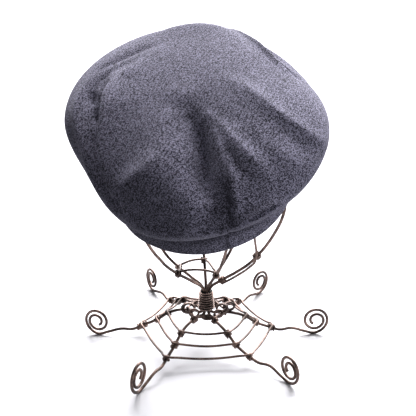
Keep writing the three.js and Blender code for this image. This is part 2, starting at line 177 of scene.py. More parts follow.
def make_wool(name, dark, pale, weave_depth):
    made, tree, shader = finish(name, 0.94, 0, {
        "Sheen Weight": 0.12, "Sheen Roughness": 0.4, "Sheen Tint": (0.80, 0.80, 0.95, 1),
        "Specular IOR Level": 0.18,
    })
    place = node(tree, "ShaderNodeTexCoord", output="Object")
    cloth = node(tree, "ShaderNodeUVMap", {"uv_map": "cloth"})
    hairs = node(tree, "ShaderNodeTexNoise", {}, {"Vector": place, "Scale": hair_scale, "Detail": 1.0,
                                                 "Roughness": 0.8})
    tufts = node(tree, "ShaderNodeTexNoise", {}, {"Vector": place, "Scale": tuft_scale, "Detail": 2.0})
    patches = node(tree, "ShaderNodeTexNoise", {}, {"Vector": place, "Scale": patch_scale, "Detail": 3.0})
    twill = node(tree, "ShaderNodeTexWave", {"bands_direction": "DIAGONAL", "wave_profile": "SIN"},
                 {"Vector": cloth, "Scale": twill_scale, "Distortion": 1.0, "Detail": 1.0,
                  "Detail Scale": 2.0})
    cells = node(tree, "ShaderNodeTexVoronoi", {}, {"Vector": place, "Scale": speck_scale}, "Color")
    specks = node(tree, "ShaderNodeSeparateColor", {}, {"Color": cells})
    salt = (hairs * 0.53 + specks * 0.32 + tufts * 0.10 + twill * 0.05).span(0.43, 0.61)
    # painted shade: this attribute darkens the cloth along the seams and in the crease under the crown's lip
    painted_crease_shade = node(tree, "ShaderNodeAttribute", {"attribute_name": "stitch_and_painted_shade"}, output=2)
    pale_here = salt * (patches * 0.35 + 0.72) * (1 - painted_crease_shade * 0.9)
    tree.links.new(blend_colours(pale_here, dark, pale).socket, shader.inputs["Base Color"])
    height = hairs * 0.9 + tufts * 0.3
    bump = node(tree, "ShaderNodeBump", {}, {"Height": height, "Strength": weave_depth,
                                            "Distance": 0.0009})
    tree.links.new(bump.socket, shader.inputs["Normal"])
    return made


wool = make_wool("wool", (0.012, 0.0115, 0.018, 1), (0.305, 0.293, 0.40, 1), 0.5)
wool_lining = make_wool("wool_lining", (0.014, 0.014, 0.022, 1), (0.10, 0.10, 0.13, 1), 0.35)
print("wool materials:", wool.name, wool_lining.name)

# %% [markdown]
# ## Bronze wire
# The stand's wire is brown bronze, drawn and bent by hand. It is darker where it was handled less
# and pinker where it is rubbed, and its gloss changes along its length. Noise on Object
# coordinates gives both, and a faint bump gives the drawing marks. The wire wound round the neck
# is glossier than the rest, and its colour is painted paler, a painted highlight that makes its
# turns read. The core behind it is a black sheet of painted shadow.


# %% Bronze
def make_bronze(name, dark, rubbed, least_roughness=0.27):
    made, tree, shader = finish(name, 0.4, 0.75, {"Specular IOR Level": 0.6})
    place = node(tree, "ShaderNodeTexCoord", output="Object")
    wear = node(tree, "ShaderNodeTexNoise", {}, {"Vector": place, "Scale": 60.0, "Detail": 4.0})
    grain = node(tree, "ShaderNodeTexNoise", {}, {"Vector": place, "Scale": 700.0, "Detail": 2.0})
    rub = (wear * 0.7 + grain * 0.3).span(0.38, 0.64)
    tree.links.new(blend_colours(rub, dark, rubbed).socket, shader.inputs["Base Color"])
    tree.links.new((wear * 0.25 + grain * 0.12 + least_roughness).socket, shader.inputs["Roughness"])
    bump = node(tree, "ShaderNodeBump", {}, {"Height": grain, "Strength": 0.25, "Distance": 0.0003})
    tree.links.new(bump.socket, shader.inputs["Normal"])
    return made


bronze = make_bronze("bronze_wire", (0.034, 0.022, 0.018, 1), (0.20, 0.135, 0.112, 1))
# painted highlight: the coil's copy of the bronze is painted paler than the rest, and it is glossier
coil_bronze_painted_paler = make_bronze("bronze_coil_painted_paler", (0.075, 0.050, 0.042, 1), (0.40, 0.29, 0.25, 1), 0.08)
# painted shadow: a near-black material for the core behind the coil's turns
core_painted_shadow, _, _ = finish("core_painted_shadow", 0.8, 0.3, {"Base Color": (0.008, 0.006, 0.005, 1)})
print("bronze materials:", bronze.name, coil_bronze_painted_paler.name, core_painted_shadow.name)

# %% [markdown]
# ## The crown's shape
# The crown is one wide piece of cloth, gathered into the band. Seen from above its outline is an
# uneven oval, so its reach and its widest height are read from a table round the circle. Between
# the rows a smooth curve is drawn. From its top out to the belly it is a dome, and under the
# belly it rolls in to the band. A share of 0 is the top of the cloth and 1 its sewn edge.

# %% Crown tables
cloth, head_width, head_length = 2.2, 170, 185
band_half_width, band_half_length = head_width / 2 + cloth, head_length / 2 + cloth
crown_rise, crown_reach, band_shows, band_height = 112, 125, 29.5, 34
belly_share, dome_power, lip_gap = 0.62, 0.95, 0.3
# A value every 30 degrees. Reach, belly and shows are shares of crown_reach, crown_rise and
# band_shows. Tuck is the power of the roll under the belly, and a higher one pulls it in sooner.
crown_rows = {
    "reach": (0.97, 0.99, 1.10, 1.13, 1.10, 0.98, 0.82, 0.85, 0.98, 1.05, 1.03, 1.00),
    "belly": (0.53, 0.63, 0.69, 0.71, 0.69, 0.65, 0.56, 0.53, 0.56, 0.58, 0.58, 0.57),
    "tuck": (1.30, 1.20, 1.20, 1.20, 1.20, 1.20, 1.15, 1.10, 1.30, 1.60, 1.40, 1.25),
    "shows": (0.72, 0.56, 0.46, 0.42, 0.46, 0.62, 0.80, 0.95, 1.00, 1.00, 0.98, 0.88),
}
print("reach every 30 degrees, mm:", [round(crown_reach * share) for share in crown_rows["reach"]])


# %% Crown section
def around(column, azimuth):
    """A column of the crown's table at any azimuth, on a smooth curve through its rows."""
    rows = np.array(crown_rows[column])
    step = (np.asarray(azimuth, float) % 360) / 360 * len(rows)
    first = np.floor(step).astype(int)
    t = step - first
    a, b, c, d = (rows[(first + k) % len(rows)] for k in (-1, 0, 1, 2))
    return b + 0.5 * t * (c - a + t * (2 * a - 5 * b + 4 * c - d + t * (3 * (b - c) + d - a)))


def band_radius(azimuth, inset=0):
    """How far out the band lies in the cap's frame, or a surface inset from its outer side."""
    turn = np.radians(azimuth)
    return 1 / np.hypot(np.cos(turn) / (band_half_width - inset), np.sin(turn) / (band_half_length - inset))


def crown_section(azimuth, share):
    """Distance out and height of the plain crown, in millimetres of the cap's own frame."""
    reach = around("reach", azimuth) * crown_reach
    belly = around("belly", azimuth) * crown_rise
    tuck = around("tuck", azimuth)
    lip, lip_up = band_radius(azimuth) + lip_gap, around("shows", azimuth) * band_shows
    dome = np.clip(share / belly_share, 0, 1) * math.pi / 2
    roll = np.clip((share - belly_share) / (1 - belly_share), 0, 1) * math.pi / 2
    cos_dome, cos_roll = np.clip(np.cos(dome), 0, 1), np.clip(np.cos(roll), 0, 1)
    upper = share < belly_share
    out = np.where(upper, reach * np.sin(dome) ** dome_power, lip + (reach - lip) * cos_roll ** tuck)
    up = np.where(upper, belly + (crown_rise - belly) * cos_dome ** dome_power,
                  belly + (lip_up - belly) * np.sin(roll) ** tuck)
    return out, up


print("belly at the back, mm out and up:", [round(float(v)) for v in crown_section(270, belly_share)])

# %% [markdown]
# ## Folds
# Loose cloth over a cage falls in folds. A fold is a line on a flat chart of the crown, where the
# top is the centre and the edge the rim. Across that line the cloth rises or sinks in a bell
# curve that may be wider on one side than on the other. Soft folds are wide and shallow, and a
# crease has a steep side. Where two folds meet, the cloth sinks into a pit, which is a very short
# fold. All sizes are shares of the crown's reach.

# %% Fold tables
# name: left half width, right half width, rise, then the route as azimuth and share
folds = {
    "back valley": (0.11, 0.095, -0.100, (264, 0.06), (268, 0.15), (265, 0.24), (263, 0.34), (263, 0.46),
                    (261, 0.60)),
    "valley core": (0.05, 0.035, -0.082, (268, 0.10), (267, 0.17), (265, 0.25), (263, 0.33), (263, 0.40)),
    "valley lip": (0.05, 0.055, 0.055, (285, 0.12), (278, 0.19), (274, 0.27), (272, 0.36), (271, 0.46),
                   (271, 0.55)),
    "second groove": (0.020, 0.020, -0.016, (284, 0.17), (281, 0.22), (279, 0.28), (279, 0.34), (280, 0.40)),
    "second lip": (0.035, 0.07, 0.034, (288, 0.15), (286, 0.21), (286, 0.28), (287, 0.36), (288, 0.45)),
    "right crest": (0.15, 0.11, 0.022, (352, 0.13), (330, 0.20), (319, 0.28), (316, 0.37), (317, 0.47),
                    (320, 0.56)),
    "crest line": (0.045, 0.050, 0.024, (350, 0.14), (330, 0.20), (319, 0.28), (316, 0.37), (317, 0.47),
                   (320, 0.54)),
    "right hollow": (0.09, 0.11, -0.028, (313, 0.29), (310, 0.37), (311, 0.45), (314, 0.54)),
    "right shelf": (0.12, 0.10, 0.030, (300, 0.26), (299, 0.36), (301, 0.44), (304, 0.52)),
    "far right crease": (0.028, 0.05, -0.060, (46, 0.47), (33, 0.43), (22, 0.40), (11, 0.395), (0, 0.42)),
    "far right crest": (0.05, 0.03, 0.050, (50, 0.45), (38, 0.41), (27, 0.375), (16, 0.36), (4, 0.37)),
    "far right hollow": (0.13, 0.16, -0.058, (46, 0.52), (36, 0.50), (26, 0.49), (14, 0.49), (3, 0.52)),
    "crown swell": (0.13, 0.13, 0.036, (86, 0.37), (68, 0.37), (52, 0.37)),
    "left pleat": (0.10, 0.028, 0.080, (126, 0.20), (140, 0.215), (152, 0.23), (165, 0.255), (178, 0.295),
                   (191, 0.35), (205, 0.42), (219, 0.56)),
    "left pocket": (0.035, 0.085, -0.105, (140, 0.265), (152, 0.275), (164, 0.30), (176, 0.34),
                    (189, 0.395), (204, 0.475), (216, 0.58)),
    "first pit": (0.032, 0.032, -0.050, (140, 0.315), (146, 0.32), (152, 0.325)),
    "second pit": (0.032, 0.032, -0.050, (158, 0.32), (163, 0.32), (168, 0.33)),
    "third pit": (0.030, 0.040, -0.045, (178, 0.375), (184, 0.39), (190, 0.41)),
    "fourth pit": (0.030, 0.035, -0.050, (215, 0.50), (218, 0.525), (221, 0.55)),
    "left ridge": (0.045, 0.06, 0.034, (136, 0.36), (152, 0.39), (168, 0.43), (186, 0.50), (200, 0.58)),
    "back bloom": (0.09, 0.07, 0.045, (240, 0.23), (233, 0.31), (226, 0.38), (219, 0.46)),
    "back left hollow": (0.12, 0.16, -0.045, (224, 0.54), (236, 0.55), (246, 0.56), (252, 0.58)),
    "front left crease": (0.03, 0.04, -0.020, (93, 0.25), (104, 0.265), (115, 0.29), (125, 0.335)),
    "front left crease 2": (0.03, 0.04, -0.016, (113, 0.225), (127, 0.275), (139, 0.33)),
    "front dip": (0.16, 0.16, -0.025, (80, 0.46), (76, 0.58), (78, 0.72)),
    "front right dip": (0.12, 0.14, -0.035, (48, 0.50), (50, 0.60), (48, 0.70)),
    "lower pleat": (0.024, 0.030, 0.050, (264, 0.67), (269, 0.60), (274, 0.565), (282, 0.555), (288, 0.59),
                    (293, 0.69)),
    "lower pleat shade": (0.035, 0.024, -0.050, (266, 0.70), (271, 0.64), (276, 0.605), (283, 0.60),
                          (289, 0.64), (294, 0.74)),
    "back seam": (0.016, 0.016, -0.020, (276, 0.27), (273, 0.345), (271, 0.41), (269, 0.50), (268, 0.62),
                  (268, 0.80), (268, 1.0)),
}
# the cloth's length from its top to its sewn edge, as a share of the reach
chart_size = 1.68
fold_end, fold_taper, fold_bell = 0.06, 0.6, 1.6
print(len(folds), "folds on the crown")


# %% Fold heights
def chart(azimuth, share):
    """A place of the cloth on the flat chart."""
    turn = np.radians(azimuth)
    return np.stack([np.cos(turn) * share, np.sin(turn) * share], -1) * chart_size


def smooth_line(knots, steps=10):
    """A Catmull-Rom line through knots of any dimension, ends repeated."""
    knots = np.array([knots[0], *knots, knots[-1]], float)
    line = []
    for a, b, c, d in zip(knots, knots[1:], knots[2:], knots[3:]):
        for t in np.arange(steps) / steps:
            line.append(b + 0.5 * t * (c - a + t * (2 * a - 5 * b + 4 * c - d + t * (3 * (b - c) + d - a))))
    return np.array([*line, knots[-1]])


def smoothstep(value, low, high):
    """0 up to low, 1 from high on, and a smooth rise between them."""
    t = np.clip((value - low) / (high - low), 0, 1)
    return t * t * (3 - 2 * t)


def fold_height(spots, left, right, rise, *route):
    """How far one fold lifts the cloth at spots of the chart."""
    line = smooth_line([chart(azimuth, share) for azimuth, share in route])
    nearest = np.full(len(spots), np.inf)
    side, place = np.zeros(len(spots)), np.zeros(len(spots))
    for k, (start, end) in enumerate(zip(line, line[1:])):
        along = end - start
        offset = spots - start
        t = np.clip(offset @ along / (along @ along), 0, 1)
        away = np.linalg.norm(offset - t[:, None] * along, axis=1)
        closer = away < nearest
        nearest = np.where(closer, away, nearest)
        side = np.where(closer, along[0] * offset[:, 1] - along[1] * offset[:, 0], side)
        place = np.where(closer, (k + t) / (len(line) - 1), place)
    width = np.where(side > 0, left, right)
    fade = np.sin(math.pi * np.clip(place, fold_end, 1 - fold_end)) ** fold_taper
    return rise * fade * np.exp(-((nearest / width) ** fold_bell))


def crown_points(azimuth, share):
    """Points of the crown's cloth in millimetres of the cap's frame."""
    out, up = crown_section(azimuth, share)
    before, after = (crown_section(azimuth, np.clip(share + step, 0, 1)) for step in (-0.004, 0.004))
    along = np.stack([after[0] - before[0], after[1] - before[1]], -1)
    along /= np.linalg.norm(along, axis=-1, keepdims=True)
    spots = chart(azimuth, share)
    lift = sum(fold_height(spots, *fold) for fold in folds.values())
    loose = smoothstep(1 - share, 0, 0.16) * smoothstep(share, 0, 0.08)
    push = lift * crown_reach * loose
    out, up = out - along[:, 1] * push, up + along[:, 0] * push
    turn = np.radians(azimuth)
    return np.stack([out * np.cos(turn), out * np.sin(turn), up], -1)


print("top of the crown, mm:", crown_points(np.zeros(1), np.zeros(1))[0].round(1))

# %% [markdown]
# ## Making the crown
# A spoke of points is spun through a full turn, which gives a flat disc of quads with its pole
# closed. Its radius is the share and its angle the azimuth, so the disc is also the cloth's
# pattern: its flat place becomes the UV map that the weave follows. Then the section and the
# folds move every point to its place, and Solidify gives the cloth its thickness. Painted shade
# along the seam at the back is marked in an attribute, along the fold of the same name.


# %% Cloth helpers
def new_piece(name, mesh, material, *slots):
    """Links a mesh to the scene as a smooth piece with its materials."""
    piece = bpy.data.objects.new(name, mesh)
    bpy.context.scene.collection.objects.link(piece)
    for one in (material, *slots):
        mesh.materials.append(one)
    for face in mesh.polygons:
        face.use_smooth = True
    return piece


def spun_disc(shares, steps):
    """A bmesh disc: a spoke of edges at the given radii, spun round +Z, its pole merged."""
    disc = bmesh.new()
    spoke = [disc.verts.new((share, 0, 0)) for share in shares]
    edges = [disc.edges.new(pair) for pair in zip(spoke, spoke[1:])]
    bmesh.ops.spin(disc, geom=spoke + edges, cent=(0, 0, 0), axis=(0, 0, 1), angle=2 * math.pi,
                   steps=steps, use_merge=True, use_normal_flip=False)
    bmesh.ops.remove_doubles(disc, verts=disc.verts, dist=1e-6)
    return disc


def to_cap(points):
    """Millimetres of the cap's frame to metres of the model."""
    return points * MM @ np.array(cap_turn).T + np.array(cap_seat)


def flat_uv(work):
    """The disc's flat place becomes the UV map, in metres of cloth."""
    layer = work.loops.layers.uv.new("cloth")
    metres = chart_size * crown_reach * MM
    for face in work.faces:
        for loop in face.loops:
            loop[layer].uv = (-loop.vert.co.x * metres, loop.vert.co.y * metres)


# %% Crown
crown_steps, fold_rows, edge_rows = 288, 122, 14
crown_shares = [0.0, 0.012, *np.linspace(0.03, 0.9, fold_rows), *np.linspace(0.908, 1.0, edge_rows)]
crown_disc = spun_disc(crown_shares, crown_steps)
flat_uv(crown_disc)
flat = np.array([v.co for v in crown_disc.verts])
crown_azimuth = np.degrees(np.arctan2(flat[:, 1], flat[:, 0]))
crown_share = np.hypot(flat[:, 0], flat[:, 1])
shaped = to_cap(crown_points(crown_azimuth, crown_share))
for vert, spot in zip(crown_disc.verts, shaped):
    vert.co = spot
bmesh.ops.recalc_face_normals(crown_disc, faces=crown_disc.faces)
crown_mesh = bpy.data.meshes.new("crown_cloth")
crown_disc.to_mesh(crown_mesh)
crown_disc.free()
crown_cloth = new_piece("crown_cloth", crown_mesh, wool, wool_lining)
if sum(p.normal.dot(p.center - cap_seat) for p in crown_mesh.polygons) < 0:
    crown_mesh.flip_normals()
wall = crown_cloth.modifiers.new("wall", "SOLIDIFY")
wall.thickness = cloth * MM
wall.offset = -1
wall.material_offset = 1
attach(crown_cloth, "root")
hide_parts("crown")
# painted shade along the back seam, stored in the attribute that darkens the cloth
seam_half, seam_route = 0.012, folds["back seam"][3:]
crown_shade = fold_height(chart(crown_azimuth, crown_share), seam_half, seam_half, 1.0, *seam_route)
crown_mesh.attributes.new("stitch_and_painted_shade", "FLOAT", "POINT").data.foreach_set("value", crown_shade)
print("crown faces:", len(crown_mesh.polygons))

# %% [markdown]
# ## The band
# The band is a cuff of the same cloth, doubled over at its lower edge and sewn to the crown inside.
# Its section is a thin upright loop. It is spun on a plain circle first, and then every point is
# moved onto the oval of the head, with a seam at the back where the ends meet and a slight
# waviness at the free edge. Its top leans in under the crown, which leaves the shaded crease
# between the two. The attribute that darkens the cloth paints shade into that crease and along
# the band's seam as well.

# %% Band section
outer_heights = (2.4, 6, 11, 16, 19, 21.5, 24, 26, 27.5, 29, 31, band_height)
inner_heights = (band_height, 26, 16, 6)
# how far in and how high the rounded fold at the free edge lies
free_edge = ((2.1, 1.6), (1.7, 0.4), (1.1, 0), (0.55, 0.25), (0.15, 0.9))
band_section = [*((0, up) for up in outer_heights), *((cloth, up) for up in inner_heights), *free_edge]
band_steps, circle, cloth_radius = 360, 100, 0.09
band_seam, seam_depth, seam_width, seam_shade_width = 267, 0.55, 0.9, 1.3
top_lean = 3.2
print("points of the band's section:", len(band_section))

# %% Band
band_work = bmesh.new()
band_loop = [band_work.verts.new((inset, 0, up)) for inset, up in band_section]
band_edges = [band_work.edges.new((band_loop[k - 1], band_loop[k])) for k in range(len(band_loop))]
bmesh.ops.translate(band_work, verts=band_loop, vec=(circle, 0, 0))
bmesh.ops.spin(band_work, geom=band_loop + band_edges, cent=(0, 0, 0), axis=(0, 0, 1), angle=2 * math.pi,
               steps=band_steps, use_merge=True, use_normal_flip=False)
bmesh.ops.remove_doubles(band_work, verts=band_work.verts, dist=1e-4)
band_uv = band_work.loops.layers.uv.new("cloth")
for face in band_work.faces:
    middle = face.calc_center_median()
    for loop in face.loops:
        turn = math.atan2(loop.vert.co.y, loop.vert.co.x)
        turn += 2 * math.pi * round((math.atan2(middle.y, middle.x) - turn) / (2 * math.pi))
        loop[band_uv].uv = (turn * cloth_radius, loop.vert.co.z * MM)
band_shade = []
for vert in band_work.verts:
    azimuth = math.degrees(math.atan2(vert.co.y, vert.co.x))
    inset = math.hypot(vert.co.x, vert.co.y) - circle
    up = vert.co.z
    from_seam = (azimuth - band_seam + 180) % 360 - 180
    seam = seam_depth * math.exp(-(from_seam / seam_width) ** 2)
    turn = math.radians(azimuth)
    wave = 0.14 * math.sin(9 * turn) + 0.10 * math.sin(14 * turn + 1)
    wave *= 1 - smoothstep(up, 0, 24)
    lean = top_lean * smoothstep(up, 16, 30)
    radius = float(band_radius(azimuth, inset)) - seam * (inset < 1) + wave - lean
    crease_up = float(around("shows", azimuth)) * band_shows
    # painted shade: the band is darkened in the crease under the crown's lip and along its seam
    painted_shade_under_lip = 0.9 * smoothstep(up, crease_up - 17, crease_up - 8)
    band_shade.append(max(painted_shade_under_lip, 0.8 * math.exp(-(from_seam / seam_shade_width) ** 2)))
    vert.co = cap_matrix @ (polar(azimuth, radius, up) * MM)
bmesh.ops.recalc_face_normals(band_work, faces=band_work.faces)
band_mesh = bpy.data.meshes.new("band_cloth")
band_work.to_mesh(band_mesh)
band_work.free()
band_cloth = new_piece("band_cloth", band_mesh, wool)
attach(band_cloth, "root")
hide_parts("band")
band_mesh.attributes.new("stitch_and_painted_shade", "FLOAT", "POINT").data.foreach_set("value", band_shade)
print("band faces:", len(band_mesh.polygons))

# %% [markdown]
# ## The peak
# The peak is a stiff crescent covered in the same cloth. It is hidden in the photograph, so it is
# plain: a grid is given a thickness, bent down to its front edge and rounded at its rim. One line
# of stitching is sunk into its upper side.

# %% Peak
peak_depth, peak_thick, peak_span, peak_drop, peak_root = 56, 3, 62, 16, 3
peak_rows, peak_slices, rim_share = 12, 64, 0.06
peak_up, peak_arch, peak_curve = band_shows * 0.34, 6, 1.6
grid_skin, cloth_half_width, cloth_half_depth = 0.02, 0.1, 0.03
stitch_inset, stitch_depth, stitch_width = 6, 0.22, 0.7
peak_work = bmesh.new()
bmesh.ops.create_grid(peak_work, x_segments=peak_slices, y_segments=peak_rows, size=1)
peak_uv = peak_work.loops.layers.uv.new("cloth")
for face in peak_work.faces:
    for loop in face.loops:
        loop[peak_uv].uv = (loop.vert.co.x * cloth_half_width, loop.vert.co.y * cloth_half_depth)
bmesh.ops.solidify(peak_work, geom=peak_work.faces, thickness=grid_skin)
for vert in peak_work.verts:
    side, row, under = vert.co.x, (vert.co.y + 1) / 2, abs(vert.co.z) > grid_skin / 2
    side = max(-1.0, min(1.0, side))
    depth = peak_depth * math.sqrt(max(1 - side ** 2, 0)) + peak_root
    azimuth = 90 - side * peak_span
    rim = math.sin(math.acos(max(min((row - 1 + rim_share) / rim_share, 1), 0)))
    half = peak_thick / 2 * (rim if row > 1 - rim_share else 1)
    top = peak_up - peak_drop * row ** peak_curve * depth / peak_depth - peak_arch * side ** 2
    stitch_and_painted_shade = stitch_depth * math.exp(-(((1 - row) * depth - stitch_inset) / stitch_width) ** 2)
    up = top - peak_thick / 2 + (-half if under else half - stitch_and_painted_shade)
    out = float(band_radius(azimuth)) + lip_gap + row * depth
    vert.co = cap_matrix @ (polar(azimuth, out, up) * MM)
bmesh.ops.remove_doubles(peak_work, verts=peak_work.verts, dist=2e-5)
bmesh.ops.recalc_face_normals(peak_work, faces=peak_work.faces)
peak_mesh = bpy.data.meshes.new("peak_cloth")
peak_work.to_mesh(peak_mesh)
peak_work.free()
peak_cloth = new_piece("peak_cloth", peak_mesh, wool)
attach(peak_cloth, "root")
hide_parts("peak")
print("peak faces:", len(peak_mesh.polygons))

# %% [markdown]
# ## Wires
# A bent wire is a curve with a round bevel. Blender's Bezier curve with automatic handles passes
# through every point, so a wire is just the list of places its maker bent it. Splines of one
# gauge can share an object.


# %% Wire helper
def wire(name, paths, thickness, nodes=(), closed=False, resolution=5, sides=3, metal=bronze):
    """Round wires through lists of points, in millimetres from the stand's axis."""
    data = bpy.data.curves.new(name, "CURVE")
    data.dimensions = "3D"
    data.bevel_depth = thickness / 2 * MM
    data.bevel_resolution = sides
    data.resolution_u = resolution
    data.use_fill_caps = True
    for path in paths:
        spline = data.splines.new("BEZIER")
        spline.bezier_points.add(len(path) - 1)
        spline.use_cyclic_u = closed
        for point, spot in zip(spline.bezier_points, path):
            point.co = Vector(spot) * MM + axis
            point.handle_left_type = point.handle_right_type = "AUTO"
    piece = bpy.data.objects.new(name, data)
    bpy.context.scene.collection.objects.link(piece)
    data.materials.append(metal)
    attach(piece, "root")
    if nodes:
        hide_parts(*nodes)
    return piece


# %% [markdown]
# ## The six strands
# Each strand is one length of 3.2 mm wire: a leg that ends in a scroll standing on the floor, a
# turn up through the neck and a rib of the cage. They are bent alike but not equal, so a table
# gives each its own directions and sizes.

# %% Strand tables
leg_wire, web_wire, coil_wire, gap = 3.2, 2.5, 1.5, 0.3
foot_reach, hub_height, neck_top, bundle_radius, bundle_middle = 119, 31, 59, 3.5, 48
cage_radius, cage_belly, top_ring_radius, scroll_size = 83, 165, 27, 31
# name: leg, lead, twist, reach, scroll, rib, swell, lift
# Leg and rib are azimuths. Lead turns the leg near the hub and twist its scroll, in degrees.
# Reach is a share of foot_reach, scroll of scroll_size, swell of cage_radius, lift of neck_top.
strands = {
    "right": (3.5, -4, 0, 0.99, 1.00, 338, 1.00, 0.06),
    "back_right": (58, 6, -14, 1.01, 0.95, 36, 0.66, 0.00),
    "back_left": (121, 6, 0, 1.08, 0.92, 96, 0.58, 0.00),
    "left": (177.5, -18, -14, 0.99, 0.98, 160, 0.90, -0.10),
    "front_left": (238, -9, 8, 1.01, 1.05, 210, 0.96, 0.03),
    "front_right": (312.5, -21, -9, 1.00, 0.98, 292, 0.78, 0.10),
}
# out as a share of foot_reach, up as a share of hub_height
leg_rows = ((0.10, 1), (0.17, 1), (0.26, 0.96), (0.36, 0.82), (0.46, 0.56), (0.60, 0.34), (0.68, 0.23),
            (0.79, 0.27), (0.91, 0.14))
# out as a share of cage_radius, up as a share of the way from neck_top to cage_belly
rib_rows = ((0.22, 0.12), (0.42, 0.23), (0.60, 0.35), (0.67, 0.42), (0.75, 0.50), (0.88, 0.68),
            (0.97, 0.86), (1, 1))
lead_end = 0.75
ring_centre = Vector((cap_aside, cap_forward / 2, 0))
scroll_steps, scroll_turns, scroll_shrink, scroll_lean = 33, 1.9, 0.36, 0.12
print("legs at degrees:", [strand[0] for strand in strands.values()])


# %% Legs and scrolls
def leg_point(name, row):
    """A point of a strand's leg, by its row of the table."""
    leg, lead, _, reach = strands[name][:4]
    out, up = leg_rows[row]
    return polar(leg + lead * max(1 - out / lead_end, 0), out * foot_reach * reach, up * hub_height)


def scroll_points(name):
    """The scroll that a leg ends in, from the floor to its eye."""
    leg, _, twist, reach, scroll = strands[name][:5]
    radius = scroll_size * scroll / 2
    foot = polar(leg, foot_reach * reach, leg_wire / 2 + radius)
    points = []
    for k in range(scroll_steps + 1):
        turn = scroll_turns * k / scroll_steps
        size, angle = radius * (1 - scroll_shrink * turn), 2 * math.pi * turn
        out = radius * scroll_lean * min(turn, 1) + size * math.sin(angle)
        points.append(foot + polar(leg + twist, out, -size * math.cos(angle)))
    return points


print("eye of the left scroll, mm:", [round(v) for v in scroll_points("left")[-1]])


# %% Ribs and neck
def rib_low_point(name, row, aside=0.0, below=0.0):
    """A point of a rib under the belly, or a place beside and below it."""
    rib, swell, lift = strands[name][5:]
    out, up = rib_rows[row]
    bow = math.sin(math.pi * up) * lift * neck_top
    height = neck_top + up * (cage_belly - neck_top) + bow - below
    return polar(rib + aside, out * cage_radius * swell, height)


crown_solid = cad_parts["crown"].data
crown_wall = BVHTree.FromPolygons([v.co for v in crown_solid.vertices],
                                  [p.vertices for p in crown_solid.polygons])


def under_crown(spot, clearance):
    """The height at which a wire lies under the crown's lining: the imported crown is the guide."""
    start = Vector((spot.x, spot.y, cage_belly)) * MM + axis
    place, normal, _, _ = crown_wall.ray_cast(start, Vector((0, 0, 1)))
    return place.z / MM - clearance / abs(normal.z)


def seat_under_ring(azimuth, thickness):
    """Where a wire of the cage ends, just under the top ring."""
    end = polar(azimuth, top_ring_radius - leg_wire, 0) + ring_centre
    end.z = under_crown(end, web_wire + thickness / 2 + 2 * gap)
    return end


def shoulder(belly, seat, count=7):
    """The rib's bend from the belly up to its seat."""
    bends = []
    for k in range(count):
        turn = (k + 1) / count * math.pi / 2
        bend = belly.lerp(seat, 1 - math.cos(turn))
        bend.z = belly.z + (seat.z - belly.z) * math.sin(turn) ** 1.5
        bends.append(bend)
    return bends


def neck_points(index):
    """A strand's way down through the neck, to where it leaves the hub."""
    turn = index * 360 / len(strands) + 2
    return [polar(turn - 24, bundle_radius, neck_top), polar(turn - 12, bundle_radius, bundle_middle),
            polar(turn, bundle_radius, hub_height + leg_wire * 1.1),
            polar(turn, bundle_radius * 1.6, hub_height + leg_wire * 0.2)]


print("seat of the right rib, mm:", [round(v) for v in seat_under_ring(strands["right"][5], leg_wire)])


# %% Strands
def strand_path(index, name):
    """All the bends of a strand, from its seat under the top ring to the eye of its scroll."""
    low = [rib_low_point(name, row) for row in range(len(rib_rows))]
    seat = seat_under_ring(strands[name][5], leg_wire)
    rib = [*low, *shoulder(low[-1], seat)]
    leg = [leg_point(name, row) for row in range(len(leg_rows))]
    return [*reversed(rib), *neck_points(index), *leg, *scroll_points(name)]


for index, name in enumerate(strands):
    wire(f"wire_strand_{name}", [strand_path(index, name)], leg_wire, [f"strand_{name}"], sides=4)
print(len(strands), "strands")

# %% [markdown]
# ## The neck coil
# A thinner wire is wound round the six strands in eight turns. It is one helix that is a little
# wider at the bottom. No light gets in between the turns, so a dark core of painted shadow stands
# behind them.

# %% Coil
coil_turns, coil_bottom, coil_top, coil_radius, coil_flare = 8, 35.5, 57, 7.4, 1.2
core_low_radius, core_high_radius = 7.3, 6.3
turn_steps = 12
coil_path = []
for k in range(coil_turns * turn_steps + 1):
    t = k / (coil_turns * turn_steps)
    out = coil_radius + coil_flare * (1 - t) ** 2
    coil_path.append(polar(360 / turn_steps * k, out, coil_bottom + (coil_top - coil_bottom) * t))
wire("wire_neck_coil", [coil_path], coil_wire, ["neck_coil"], resolution=3, metal=coil_bronze_painted_paler)
# painted shadow: a black cone stands behind the coil's turns, where there is only shade
core_work = bmesh.new()
bmesh.ops.create_cone(core_work, cap_ends=True, segments=32, radius1=core_low_radius * MM,
                      radius2=core_high_radius * MM, depth=(coil_top - coil_bottom) * MM)
bmesh.ops.translate(core_work, verts=core_work.verts,
                    vec=axis + Vector((0, 0, (coil_top + coil_bottom) / 2)) * MM)
core_mesh = bpy.data.meshes.new("neck_painted_shadow")
core_work.to_mesh(core_mesh)
core_work.free()
shadow_core = new_piece("neck_painted_shadow", core_mesh, core_painted_shadow)
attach(shadow_core, "root")
print("coil of", coil_turns, "turns")

# %% [markdown]
# ## The web
# Four rings of thin wire lie on the legs and are wrapped round each one as they pass. Between two
# legs they hang a little. A wrap is a short helix round the leg, so a helper makes one from the
# leg's direction.

# %% Web helpers
# name: the row of leg_rows that it crosses, its sag in wire diameters
web_rings = {"hub": (1, 0.2), "inner": (3, 1.3), "middle": (4, 1.5), "outer": (5, 1.6)}
wrap_wire = 2.3
wrap_pitch = wrap_wire * 1.04


def crossing(before, at, after):
    """Where a thin wire crosses over a thick one."""
    along = (after - before).normalized()
    over = along.cross(Vector((-along.y, along.x, 0)).normalized())
    return at + over * ((leg_wire + web_wire) / 2 + 2 * gap)


